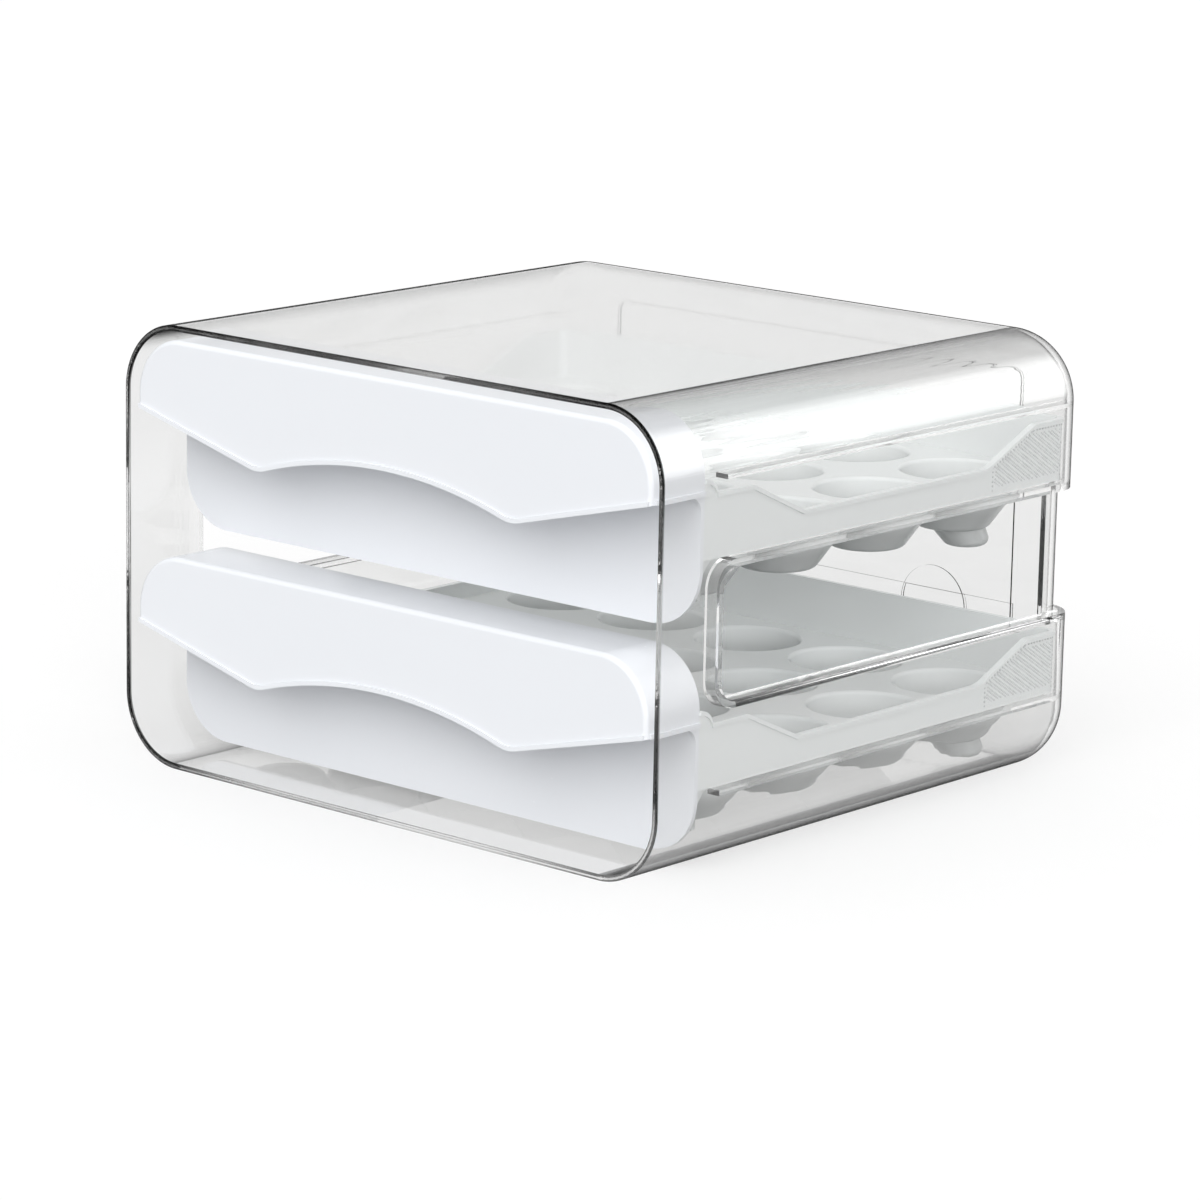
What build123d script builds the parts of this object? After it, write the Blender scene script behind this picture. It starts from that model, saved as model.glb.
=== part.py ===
from build123d import *
import os

# Egg storage drawer: a clear five-sided casing, open at the front, that holds two egg drawers.
# Millimetres. X is the width, Y runs from the open front to the back wall, Z is up.
# The origin is the middle of the footprint, on the surface that the casing stands on.

# Casing
casing_width = 259.0
casing_depth = 240.0
casing_height = 165.0
casing_wall = 2.2
casing_corner_radius = 26.0
casing_back_radius = 16.0
rim_rounding = 0.8

# How the two tiers share the height
floor_gap = 3.8
tier_gap = 6.6
roof_gap = 3.4

# Rails, shelves and ribs that carry and hold down the drawers
rail_width = 5.3
rail_thickness = 2.0
rail_setback = 34.0
lip_thickness = 2.5
rib_thickness = 1.6
rib_lead = 1.0
hold_down_gap = 4.7
running_gap = 0.3

# Side windows
window_front_setback = 32.4
window_corner_radius = 8.0
window_edge_rounding = 2.0
post_depth = 15.0
post_corner_radius = 12.0

# Raised panel and the two round pads on the back wall
panel_side_margin = 31.0
panel_end_margin = 18.0
panel_corner_radius = 4.0
panel_step = 0.8
pad_radius = 15.0
pad_offset = 62.5
pad_height = 52.3
pad_step = 0.5

# Drawer front: a hollow hood above a set-back plate
side_gap = 3.8
front_setback = 0.8
drawer_corner_radius = 21.0
hood_depth = 26.2
hood_wall = 1.6
hood_edge_rounding = 1.8
hood_web_radius = 5.5
edge_end_rise = 22.8
edge_low_rise = 7.2
edge_low_offset = 61.0
edge_arch_rise = 17.0
edge_low_radius = 14.0
bead_height = 1.6
bead_projection = 0.8
bead_end_inset = 0.9

# Egg tray
tray_wall = 1.8
tray_corner_radius = 5.0
tray_rear_gap = 4.0
plate_rise = 4.0
rim_rise = 23.3
scoop_rise = 10.6
front_shoulder = 25.1
front_slope = 28.0
rear_shoulder = 20.5
rear_slope = 28.0
rim_corner_radius = 4.0
rim_easing_radius = 14.0
shoulder_sweep = 6.5
shoulder_sweep_radius = 6.6
back_rise = 24.4
back_end_inset = 11.5
back_end_rounding = 8.0
gusset_gap = 0.8
gusset_reach = 8.0
gusset_drop = 14.0
gusset_radius = 18.2

# Egg cups, and the feet that level a drawer taken out of the casing
cup_diameter = 44.0
cup_depth = 21.0
cup_wall = 1.6
cup_web = 4.0
cup_side_margin = 3.7
cup_front_margin = 0.2
cup_rear_margin = 6.2
cup_shoulder_depth = 10.0
cup_shoulder_taper = 0.8
cup_base_radius = 13.5
cup_shoulder_rounding = 9.0
cup_base_rounding = 3.5
foot_height = 7.0
foot_radius = 8.6
foot_root_radius = 11.0
foot_offset = 4.5
foot_rounding = 2.6

# How near an edge is to the height at which it is picked
pick_margin = 0.01

# Heights that follow
panel_drop = cup_depth - plate_rise + foot_height
inner_height = casing_height - 2 * casing_wall
drawer_height = (inner_height - floor_gap - tier_gap - roof_gap) / 2
hood_rise = drawer_height - panel_drop
tier_pitch = drawer_height + tier_gap
lower_rail_top = casing_wall + floor_gap + panel_drop
upper_rail_top = lower_rail_top + tier_pitch
window_top = upper_rail_top - lip_thickness
ledge_bottom = lower_rail_top + rim_rise + hold_down_gap
window_bottom = ledge_bottom + lip_thickness
rib_bottom = upper_rail_top + rim_rise + hold_down_gap

# Widths and depths that follow
front_y = -casing_depth / 2
back_y = casing_depth / 2
inner_half_width = casing_width / 2 - casing_wall
rail_inner_x = inner_half_width - rail_width
drawer_half_width = inner_half_width - side_gap
hood_front_y = front_y + front_setback
tray_front_y = hood_front_y + hood_depth
tray_back_y = back_y - casing_wall - panel_step - pad_step - tray_rear_gap
window_front_y = front_y + window_front_setback


def at_depth(y):
    """The upright plane across the casing at y; a negative extrusion from it runs backwards."""
    return Plane.XZ.offset(-y)


def export(part, name):
    part.label = name
    export_step(part, f"parts/{name}.step")


os.makedirs("parts", exist_ok=True)


# The casing's outer form and its hollow
with BuildPart() as envelope:
    with BuildSketch(at_depth(front_y)):
        with Locations((0, casing_height / 2)):
            RectangleRounded(casing_width, casing_height, casing_corner_radius)
    extrude(amount=-casing_depth)
    fillet(envelope.faces().sort_by(Axis.Y)[-1].edges(), radius=casing_back_radius)

with BuildPart() as hollow:
    with BuildSketch(at_depth(front_y)):
        with Locations((0, casing_height / 2)):
            RectangleRounded(2 * inner_half_width, inner_height, casing_corner_radius - casing_wall)
    extrude(amount=-(casing_depth - casing_wall))
    fillet(hollow.faces().sort_by(Axis.Y)[-1].edges(), radius=casing_back_radius - casing_wall)

# The column inside which the casing stays where the side windows notch its back corners
with BuildPart() as inset_column:
    with BuildSketch(Plane.XY):
        with BuildLine():
            FilletPolyline(
                (-rail_inner_x, front_y),
                (-rail_inner_x, back_y),
                (rail_inner_x, back_y),
                (rail_inner_x, front_y),
                radius=post_corner_radius,
                close=False,
            )
            Line((rail_inner_x, front_y), (-rail_inner_x, front_y))
        make_face()
    extrude(amount=casing_height)

# What the windows take away, on both sides at once, and the corner posts that are left inside
with BuildPart() as window_notch:
    with BuildSketch(Plane.YZ.offset(-casing_width / 2)):
        with BuildLine():
            FilletPolyline(
                (back_y, window_bottom),
                (window_front_y, window_bottom),
                (window_front_y, window_top),
                (back_y, window_top),
                radius=window_corner_radius,
                close=False,
            )
            Line((back_y, window_top), (back_y, window_bottom))
        make_face()
    extrude(amount=casing_width)
    add(inset_column.part, mode=Mode.SUBTRACT)

with BuildPart() as posts:
    with BuildSketch(Plane.XY.offset(ledge_bottom)):
        with BuildLine():
            FilletPolyline(
                (-rail_inner_x, back_y - post_depth),
                (-rail_inner_x, back_y),
                (rail_inner_x, back_y),
                (rail_inner_x, back_y - post_depth),
                radius=post_corner_radius,
                close=False,
            )
            Line((rail_inner_x, back_y - post_depth), (-rail_inner_x, back_y - post_depth))
        make_face()
        with BuildLine():
            FilletPolyline(
                (casing_wall - rail_inner_x, back_y - post_depth),
                (casing_wall - rail_inner_x, back_y - casing_wall),
                (rail_inner_x - casing_wall, back_y - casing_wall),
                (rail_inner_x - casing_wall, back_y - post_depth),
                radius=post_corner_radius - casing_wall,
                close=False,
            )
            Line(
                (rail_inner_x - casing_wall, back_y - post_depth),
                (casing_wall - rail_inner_x, back_y - post_depth),
            )
        make_face(mode=Mode.SUBTRACT)
    extrude(amount=upper_rail_top - ledge_bottom)

# Rails, ribs and the window lips, before they are trimmed to the casing's form
with BuildPart() as ledges:
    for side in (-1, 1):
        rail_x = side * (rail_inner_x + casing_width / 2) / 2
        rail_reach = casing_width / 2 - rail_inner_x
        rail_length = casing_depth - rail_setback
        rib_length = back_y - tray_front_y - shoulder_sweep - rib_lead
        with Locations((rail_x, back_y - rail_length / 2, lower_rail_top - rail_thickness / 2)):
            Box(rail_reach, rail_length, rail_thickness)
        with Locations((rail_x, back_y - rib_length / 2, rib_bottom + rib_thickness / 2)):
            Box(rail_reach, rib_length, rib_thickness)
        lip_plane = Plane.YZ.offset(rail_inner_x if side > 0 else -casing_width / 2)
        with BuildSketch(lip_plane):
            with BuildLine():
                FilletPolyline(
                    (back_y, ledge_bottom),
                    (window_front_y - casing_wall, ledge_bottom),
                    (window_front_y - casing_wall, upper_rail_top),
                    (back_y, upper_rail_top),
                    radius=window_corner_radius + casing_wall,
                    close=False,
                )
                Line((back_y, upper_rail_top), (back_y, ledge_bottom))
            make_face()
        extrude(amount=rail_reach)
    add(envelope.part, mode=Mode.INTERSECT)

# What rounds the outer edges of the windows' bottom ledges
with BuildPart() as ledge_roundings:
    with BuildSketch(at_depth(window_front_y + window_corner_radius)):
        for side in (-1, 1):
            middle_x = side * (casing_width / 2 - window_edge_rounding)
            corner_x = middle_x + side * window_edge_rounding / 2
            with Locations((corner_x, window_bottom - window_edge_rounding / 2)):
                Rectangle(window_edge_rounding, window_edge_rounding)
            with Locations((middle_x, window_bottom - window_edge_rounding)):
                Circle(window_edge_rounding, mode=Mode.SUBTRACT)
    extrude(amount=window_front_y + window_corner_radius - back_y)

# Clear casing
with BuildPart() as casing:
    add(envelope.part)
    add(hollow.part, mode=Mode.SUBTRACT)
    panel_size = (casing_width - 2 * panel_side_margin, casing_height - 2 * panel_end_margin)
    for plane_y, mode in ((back_y - casing_wall, Mode.ADD), (back_y, Mode.SUBTRACT)):
        with BuildSketch(at_depth(plane_y)):
            with Locations((0, casing_height / 2)):
                RectangleRounded(*panel_size, panel_corner_radius)
        extrude(amount=panel_step, mode=mode)
        with BuildSketch(at_depth(plane_y - panel_step)):
            with Locations((-pad_offset, pad_height), (pad_offset, pad_height)):
                Circle(pad_radius)
        extrude(amount=pad_step, mode=mode)
    add(ledges.part)
    add(window_notch.part, mode=Mode.SUBTRACT)
    add(posts.part)
    front_edges = casing.faces().sort_by(Axis.Y)[0].edges()
    fillet(front_edges, radius=rim_rounding)
    add(ledge_roundings.part, mode=Mode.SUBTRACT)
export(casing.part, "casing")


def drawer_outline(inset, bottom):
    """A straight-sided drawer front with round top corners, from the given height upwards."""
    half = drawer_half_width - inset
    top = hood_rise - inset
    with BuildSketch(Plane.XY) as outline:
        with BuildLine():
            FilletPolyline(
                (-half, bottom),
                (-half, top),
                (half, top),
                (half, bottom),
                radius=drawer_corner_radius - inset,
                close=False,
            )
            Line((half, bottom), (-half, bottom))
        make_face()
    return outline.sketch


def below_wave(raise_by):
    """Everything under the hood's waved lower edge, or under that edge raised by some height."""
    reach = drawer_half_width + side_gap
    slope = (edge_end_rise - edge_low_rise) / (drawer_half_width - edge_low_offset)
    end = edge_end_rise + slope * side_gap + raise_by
    low = edge_low_rise + raise_by
    crown = edge_arch_rise + raise_by
    with BuildSketch(Plane.XY) as outline:
        with BuildLine():
            Line((-reach, end), (-edge_low_offset, low))
            ThreePointArc((-edge_low_offset, low), (0, crown), (edge_low_offset, low))
            Line((edge_low_offset, low), (reach, end))
            Polyline((reach, end), (reach, -drawer_height), (-reach, -drawer_height), (-reach, end))
        make_face()
        low_points = outline.vertices().filter_by_position(Axis.Y, low - pick_margin, low + pick_margin)
        fillet(low_points, radius=edge_low_radius)
    return outline.sketch


# Drawer front, in the drawer's own frame, where Z is 0 at the top of the rails
with BuildPart() as drawer_front:
    with BuildSketch(at_depth(hood_front_y)):
        add(drawer_outline(0, 0))
    extrude(amount=-(hood_depth - hood_wall))
    front_outline = drawer_front.faces().sort_by(Axis.Y)[0].edges()
    fillet(front_outline.filter_by_position(Axis.Z, pick_margin, hood_rise), radius=hood_edge_rounding)
    with BuildSketch(at_depth(hood_front_y)):
        add(below_wave(0))
    extrude(amount=-hood_depth, mode=Mode.SUBTRACT)
    with BuildSketch(at_depth(hood_front_y + hood_wall)):
        add(drawer_outline(hood_wall, 0))
    extrude(amount=-(hood_depth - 2 * hood_wall), mode=Mode.SUBTRACT)
    with BuildSketch(at_depth(tray_front_y - hood_wall)):
        with Locations((0, (hood_rise - panel_drop) / 2)):
            RectangleRounded(2 * drawer_half_width, drawer_height, drawer_corner_radius)
    extrude(amount=-hood_wall)
    with BuildSketch(at_depth(hood_front_y - bead_projection)):
        add(drawer_outline(bead_end_inset, 0))
        add(below_wave(0), mode=Mode.SUBTRACT)
        add(drawer_outline(0, 0).intersect(below_wave(bead_height)), mode=Mode.INTERSECT)
    extrude(amount=-(bead_projection + hood_wall))
    for side in (-1, 1):
        bead_x = side * (drawer_half_width + (bead_projection - hood_wall) / 2)
        bead_y = (hood_front_y + hood_edge_rounding + tray_front_y) / 2
        bead_length = tray_front_y - hood_front_y - hood_edge_rounding
        with Locations((bead_x, bead_y, edge_end_rise + bead_height / 2)):
            Box(bead_projection + hood_wall, bead_length, bead_height)
        web_back_y = tray_front_y - hood_wall
        web_top = edge_end_rise + bead_height
        web_low = edge_end_rise - hood_web_radius
        web_front_y = web_back_y - hood_web_radius
        web_x = side * (drawer_half_width - hood_wall / 2) - hood_wall / 2
        with BuildSketch(Plane.YZ.offset(web_x)):
            with BuildLine():
                RadiusArc((web_front_y, edge_end_rise), (web_back_y, web_low), hood_web_radius)
                Polyline(
                    (web_back_y, web_low),
                    (tray_front_y, web_low),
                    (tray_front_y, web_top),
                    (web_front_y, web_top),
                    (web_front_y, edge_end_rise),
                )
            make_face()
        extrude(amount=hood_wall)


def rim_line(lower_by):
    """Side view of everything under the tray's scooped rim, or under that rim lowered."""
    rim = rim_rise - lower_by
    scoop = scoop_rise - lower_by
    sweep_top = min(rim_rise + shoulder_sweep, hood_rise - drawer_corner_radius) - lower_by
    scoop_front = tray_front_y + front_shoulder + front_slope
    scoop_back = tray_back_y - rear_shoulder - rear_slope
    sweep_back_y = tray_front_y + shoulder_sweep
    with BuildSketch(Plane.XY) as outline:
        with BuildLine():
            RadiusArc((tray_front_y, sweep_top), (sweep_back_y, rim), shoulder_sweep_radius)
            FilletPolyline(
                (sweep_back_y, rim),
                (tray_front_y + front_shoulder, rim),
                (scoop_front, scoop),
                (scoop_back, scoop),
                (tray_back_y - rear_shoulder, rim),
                (tray_back_y, rim),
                radius=(rim_corner_radius, rim_corner_radius, rim_easing_radius, rim_corner_radius),
                close=False,
            )
            Polyline(
                (tray_back_y, rim),
                (tray_back_y, -panel_drop),
                (tray_front_y, -panel_drop),
                (tray_front_y, sweep_top),
            )
        make_face()
    return outline.sketch


def tray_plan(inset):
    """The tray from above, square at the front and round-cornered at the back."""
    half = drawer_half_width - inset
    back = tray_back_y - inset
    front = tray_front_y + inset
    with BuildSketch(Plane.XY) as plan:
        with BuildLine():
            FilletPolyline(
                (-half, front),
                (-half, back),
                (half, back),
                (half, front),
                radius=tray_corner_radius - inset,
                close=False,
            )
            Line((half, front), (-half, front))
        make_face()
    return plan.sketch


def cup_form(shrink):
    """An egg cup's outer form, or its hollow with a rounded mouth when shrunk by the cup's wall."""
    mouth = cup_diameter / 2 - shrink
    shoulder = mouth - cup_shoulder_taper
    base = cup_base_radius - shrink
    depth = cup_depth - shrink
    flare = min(shrink, tray_wall)
    with BuildPart() as cup:
        with BuildSketch(Plane.XZ):
            with BuildLine():
                FilletPolyline(
                    (mouth, -flare),
                    (shoulder, -cup_shoulder_depth),
                    (base, -depth),
                    (0, -depth),
                    radius=(cup_shoulder_rounding - shrink, cup_base_rounding - shrink),
                    close=False,
                )
                if flare > 0:
                    RadiusArc((mouth, -flare), (mouth + flare, 0), flare)
                Polyline((mouth + flare, 0), (0, 0), (0, -depth))
            make_face()
        revolve(axis=Axis.Z)
    return cup.part


def foot_form(shrink, side):
    """A drawer foot that leans outwards from under a rear corner cup, or its hollow."""
    root_z = plate_rise - cup_depth + 2 * cup_wall
    with BuildPart() as foot:
        with BuildSketch(Plane.XY.offset(root_z)):
            Circle(foot_root_radius - shrink)
        with BuildSketch(Plane.XY.offset(shrink - panel_drop)):
            with Locations((side * foot_offset, foot_offset)):
                Circle(foot_radius - shrink)
        loft(ruled=True)
        fillet(foot.faces().sort_by(Axis.Z)[0].edges(), radius=foot_rounding - shrink)
    return foot.part


# Where the egg cups stand: as many as the tray has room for
plan_width = 2 * (drawer_half_width - tray_wall - cup_side_margin)
plan_length = tray_back_y - tray_front_y - 2 * tray_wall - cup_front_margin - cup_rear_margin
cup_columns = int((plan_width + cup_web) / (cup_diameter + cup_web))
cup_rows = int((plan_length + cup_web) / (cup_diameter + cup_web))
cup_pitch_x = (plan_width - cup_diameter) / (cup_columns - 1)
cup_pitch_y = (plan_length - cup_diameter) / (cup_rows - 1)
cup_middle_y = (tray_front_y + cup_front_margin + tray_back_y - cup_rear_margin) / 2
last_row_y = cup_middle_y + cup_pitch_y * (cup_rows - 1) / 2
last_column_x = cup_pitch_x * (cup_columns - 1) / 2

# The gussets that brace the tray's front wall inside the rails
gusset_x = rail_inner_x - gusset_gap - tray_wall / 2
gusset_back_y = tray_front_y + gusset_reach

# What the scooped side rims and the taller middle of the back wall leave of the tray's height
with BuildPart() as tray_reach:
    with BuildSketch(Plane.YZ.offset(-casing_width / 2)):
        add(rim_line(0))
    extrude(amount=casing_width)
    with BuildSketch(at_depth(tray_back_y - tray_corner_radius)):
        with Locations((0, back_rise / 2)):
            RectangleRounded(2 * (drawer_half_width - back_end_inset), back_rise, back_end_rounding)
    extrude(amount=-tray_corner_radius)

# The bead that stiffens the rim
with BuildPart() as rim_bead:
    with BuildSketch(Plane.YZ.offset(-casing_width / 2)):
        add(rim_line(0))
        add(rim_line(bead_height), mode=Mode.SUBTRACT)
    extrude(amount=casing_width)
    with BuildSketch(Plane.XY):
        add(tray_plan(-bead_projection))
    extrude(amount=hood_rise, mode=Mode.INTERSECT)

# Egg tray, in the drawer's own frame
with BuildPart() as egg_tray:
    with BuildSketch(Plane.XY.offset(running_gap)):
        add(tray_plan(0))
    extrude(amount=hood_rise - running_gap)
    add(tray_reach.part, mode=Mode.INTERSECT)
    add(rim_bead.part)
    with BuildSketch(Plane.XY):
        add(tray_plan(tray_wall))
    extrude(amount=hood_rise, mode=Mode.SUBTRACT)
    with BuildSketch(Plane.XY.offset(plate_rise - tray_wall)):
        add(tray_plan(tray_wall / 2))
    extrude(amount=tray_wall)
    with Locations(Location((0, cup_middle_y, plate_rise))):
        with GridLocations(cup_pitch_x, cup_pitch_y, cup_columns, cup_rows):
            add(cup_form(0))
    for side in (-1, 1):
        with Locations((side * last_column_x, last_row_y, 0)):
            add(foot_form(0, side))
    with Locations(Location((0, cup_middle_y, plate_rise))):
        with GridLocations(cup_pitch_x, cup_pitch_y, cup_columns, cup_rows):
            add(cup_form(cup_wall), mode=Mode.SUBTRACT)
    for side in (-1, 1):
        with Locations((side * last_column_x, last_row_y, 0)):
            add(foot_form(cup_wall, side), mode=Mode.SUBTRACT)
    with BuildSketch(Plane.XY.offset(running_gap)):
        with Locations((0, tray_front_y + tray_wall / 2)):
            Rectangle(2 * (rail_inner_x - gusset_gap), tray_wall)
    extrude(amount=-gusset_drop)
    gusset_top = plate_rise - tray_wall / 2
    for side in (-1, 1):
        with BuildSketch(Plane.YZ.offset(side * gusset_x - tray_wall / 2)):
            with BuildLine():
                Polyline(
                    (tray_front_y, -gusset_drop),
                    (tray_front_y, gusset_top),
                    (gusset_back_y, gusset_top),
                    (gusset_back_y, running_gap),
                )
                RadiusArc((gusset_back_y, running_gap), (tray_front_y, -gusset_drop), -gusset_radius)
            make_face()
        extrude(amount=tray_wall)

for tier, rail_top in (("lower", lower_rail_top), ("upper", upper_rail_top)):
    place = Location((0, 0, rail_top))
    export(drawer_front.part.moved(place), f"{tier}_drawer_front")
    export(egg_tray.part.moved(place), f"{tier}_egg_tray")
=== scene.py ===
"""Egg storage drawer: a clear casing with two sliding egg drawers, dressed and set in a plain studio.

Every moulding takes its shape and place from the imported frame. This script smooths the mouldings,
gives them their plastics, adds the stippled grips at the back of the trays, and sets the studio.
"""

import math

import bmesh
import bpy
from bpy.props import FloatProperty, FloatVectorProperty, IntProperty, PointerProperty
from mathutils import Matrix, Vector


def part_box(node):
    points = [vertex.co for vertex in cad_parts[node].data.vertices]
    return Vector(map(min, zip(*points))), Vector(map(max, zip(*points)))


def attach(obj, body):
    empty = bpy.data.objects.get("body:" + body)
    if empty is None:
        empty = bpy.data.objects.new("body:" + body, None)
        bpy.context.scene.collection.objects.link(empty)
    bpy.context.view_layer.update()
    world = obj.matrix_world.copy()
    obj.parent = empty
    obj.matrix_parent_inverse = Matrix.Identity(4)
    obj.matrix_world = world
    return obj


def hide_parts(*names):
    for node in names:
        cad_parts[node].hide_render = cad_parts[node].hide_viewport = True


bl_info = {
    "name": "Egg Storage Drawer",
    "version": (1, 0, 0),
    "blender": (4, 5, 0),
    "location": "View3D > Sidebar > Egg Drawer",
    "description": "Dresses a clear casing with two sliding egg drawers and sets a plain studio",
    "category": "Object",
}

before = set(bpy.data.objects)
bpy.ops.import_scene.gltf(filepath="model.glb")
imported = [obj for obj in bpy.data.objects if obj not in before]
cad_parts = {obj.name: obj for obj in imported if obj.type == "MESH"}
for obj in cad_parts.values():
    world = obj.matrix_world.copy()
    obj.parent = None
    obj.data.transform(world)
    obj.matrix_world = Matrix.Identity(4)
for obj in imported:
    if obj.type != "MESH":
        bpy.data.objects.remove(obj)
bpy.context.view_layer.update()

# The two drawers, and the height of the rails that carry them
TIERS = ("lower", "upper")
SIDES = (-1, 1)
RAIL_TOPS = {"lower": 0.030, "upper": 0.110}

# Smoothing: lengths in metres, curvature per metre
MERGE_DISTANCE = 1e-6
SHARP_ANGLE = math.radians(32)
LEAST_TURN = math.radians(1.5)
LEAST_RISE = 2e-6
MOST_RISE = 9e-5
ROUNDS = 2

# Marks on the meshes that the materials read, which place the painted shade on edges and in cups
ROUNDING = "rounding"
ROUND_ANGLE = math.radians(0.5)
FINE_EDGE = "fine_edge"
FINE_CURVATURE = 300.0
NARROW_WIDTH = 1.15e-3
SUNKEN = "sunken"
CUP_TOP = 0.002
CUP_REACH = 0.014

# Light and surfaces
CEILING_START = math.radians(20)
CEILING_FULL = math.radians(38)
GLOW_WAY = Vector((0.55, 0.74, 0.38)).normalized()
GLOW_SPREAD = math.radians(32)
LIGHT_BOUNCES = 64
SENSOR_WIDTH = 36.0
STYRENE_IOR = 1.5
CLOUD_SCALE = 14.0
CLOUD_DETAIL = 3.0
GRAIN_DETAIL = 4.0
LEAST_GLOSS = 0.9
MOST_GLOSS = 1.1

# The grip's outline on a tray's side wall, as places behind the middle and heights over the rail
GRIP_FRONT = 0.068
GRIP_SHOULDER = 0.0905
GRIP_BACK = 0.1092
GRIP_FOOT = 0.002
GRIP_STEP = 0.011
GRIP_TOP = 0.0212
GRIP_CORNERS = (
    (GRIP_FRONT, GRIP_FOOT),
    (GRIP_FRONT, GRIP_STEP),
    (GRIP_SHOULDER, GRIP_TOP),
    (GRIP_BACK, GRIP_TOP),
    (GRIP_BACK, GRIP_FOOT),
)

# The square of dots that is cut to the outline, and how far odd rows close up to even ones
GRIP_REACH = 0.056
PAIR_CLOSING = 0.0002

# Where the rays that set the dots on the wall start, and how long they are
GRIP_OUTSIDE = 0.14
GRIP_RAY = 0.03

# The dots' facets, and the range of their sizes
DOT_SEGMENTS = 6
DOT_RINGS = 4
LEAST_DOT = 0.75
MOST_DOT = 1.2


# Sizes and colours that a user would change

class ClearPlasticSettings(bpy.types.PropertyGroup):
    """How the casing's clear plastic looks."""

    tint: FloatVectorProperty(
        name="Tint", description="Colour of the clear plastic's surface", subtype="COLOR",
        default=(0.88, 0.88, 0.877), min=0, max=1)
    depth_colour: FloatVectorProperty(
        name="Depth colour", description="Colour that light keeps on its way through the plastic",
        subtype="COLOR", default=(0.80, 0.80, 0.80), min=0, max=1)
    depth_density: FloatProperty(
        name="Depth density", description="How fast the plastic darkens with thickness, per metre",
        default=12.0, min=0)
    # Painted shade: these darken the casing's rounded and fine edges with a dark mix, not by what the edges
    # bend in.
    painted_edge_shade: FloatProperty(
        name="Edge shade", description="Light that a rounded edge passes where it turns away",
        default=0.1, min=0, max=1)
    fine_share: FloatProperty(
        name="Fine share", description="How much of that darkening fine edges always take",
        default=0.85, min=0, max=1)
    flat_share: FloatProperty(
        name="Flat share", description="How much of that darkening the flat walls take",
        default=0.1, min=0, max=1)
    edge_start: FloatProperty(
        name="Edge start", description="How far a rounded edge faces away where it starts to go dark",
        default=0.5, min=0, max=1)
    edge_full: FloatProperty(
        name="Edge full", description="How far a rounded edge faces away where it is darkest",
        default=0.92, min=0, max=1)
    gloss: FloatProperty(
        name="Gloss", description="Specular level of the polished walls", default=0.25, min=0, max=1)
    ior: FloatProperty(
        name="Index of refraction", description="Bend of light in styrene", default=STYRENE_IOR)
    roughness: FloatProperty(
        name="Roughness", description="Roughness of the polished walls", default=0.02, min=0, max=1)
    clouding: FloatProperty(
        name="Clouding", description="Unevenness of the clear plastic's colour", default=0.004)
    ripple_scale: FloatProperty(
        name="Ripple scale", description="Fineness of the walls' ripples, per metre", default=60.0)
    ripple_depth: FloatProperty(
        name="Ripple depth", description="Depth of the walls' ripples", subtype="DISTANCE",
        unit="LENGTH", default=0.000004)
    shadow_tint: FloatProperty(
        name="Shadow tint", description="Share of lamp light that passes one face", default=0.99,
        min=0, max=1)


class OpaquePlasticSettings(bpy.types.PropertyGroup):
    """How the white drawer fronts and the egg trays look."""

    front_colour: FloatVectorProperty(
        name="Front colour", description="Cool white of the drawer fronts", subtype="COLOR",
        default=(0.86, 0.88, 0.915), min=0, max=1)
    tray_colour: FloatVectorProperty(
        name="Tray colour", description="Faintly green white of the egg trays", subtype="COLOR",
        default=(0.85, 0.875, 0.872), min=0, max=1)
    front_translucency: FloatProperty(
        name="Front translucency", description="Share of light that passes each face of a drawer front",
        default=0.25, min=0, max=1)
    tray_translucency: FloatProperty(
        name="Tray translucency", description="Share of light that passes each face of a tray's thin walls",
        default=0.56, min=0, max=1)
    # Painted shade: the tray colour is scaled down in the cups, darkest at their bottoms.
    painted_cup_shade: FloatProperty(
        name="Cup shade", description="Share of a tray's colour that its thin cups keep at the bottom",
        default=0.58, min=0, max=1)
    front_roughness: FloatProperty(
        name="Front roughness", description="Roughness of the drawer fronts", default=0.26, min=0, max=1)
    tray_roughness: FloatProperty(
        name="Tray roughness", description="Roughness of the egg trays", default=0.18, min=0, max=1)
    clouding: FloatProperty(
        name="Clouding", description="Unevenness of the colours", default=0.015)
    grain_scale: FloatProperty(
        name="Grain scale", description="Fineness of the moulded grain, per metre", default=500.0)
    grain_depth: FloatProperty(
        name="Grain depth", description="Depth of the moulded grain", subtype="DISTANCE",
        unit="LENGTH", default=0.000003)


class GripSettings(bpy.types.PropertyGroup):
    """The stippled grip on the rear of each tray's side walls."""

    row_pitch: FloatProperty(
        name="Row pitch", description="Distance between rows of dots", unit="LENGTH", default=0.0012)
    dot_pitch: FloatProperty(
        name="Dot pitch", description="Distance between dots in a row", unit="LENGTH", default=0.0010)
    border_pitch: FloatProperty(
        name="Border pitch", description="Distance between dots round the patch", unit="LENGTH",
        default=0.0017)
    dot_radius: FloatProperty(
        name="Dot radius", description="Radius of a dot", unit="LENGTH", default=0.00036)
    dot_height: FloatProperty(
        name="Dot height", description="How far a dot stands out", unit="LENGTH", default=0.00018)
    border_scale: FloatProperty(
        name="Border scale", description="Size of the border's dots beside the others", default=1.35)
    margin: FloatProperty(
        name="Margin", description="Bare strip inside the border", unit="LENGTH", default=0.0013)
    row_slope: FloatProperty(
        name="Row slope", description="Fall of the rows towards the back", subtype="ANGLE",
        default=math.radians(32))
    seed: IntProperty(name="Seed", description="Seed of the dots' unevenness", default=7)
    # Painted shade: the dots' grey stands in for the shadow on and round the small dots.
    colour: FloatVectorProperty(
        name="Colour", description="Shaded grey of the dots", subtype="COLOR",
        default=(0.55, 0.56, 0.57), min=0, max=1)


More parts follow.
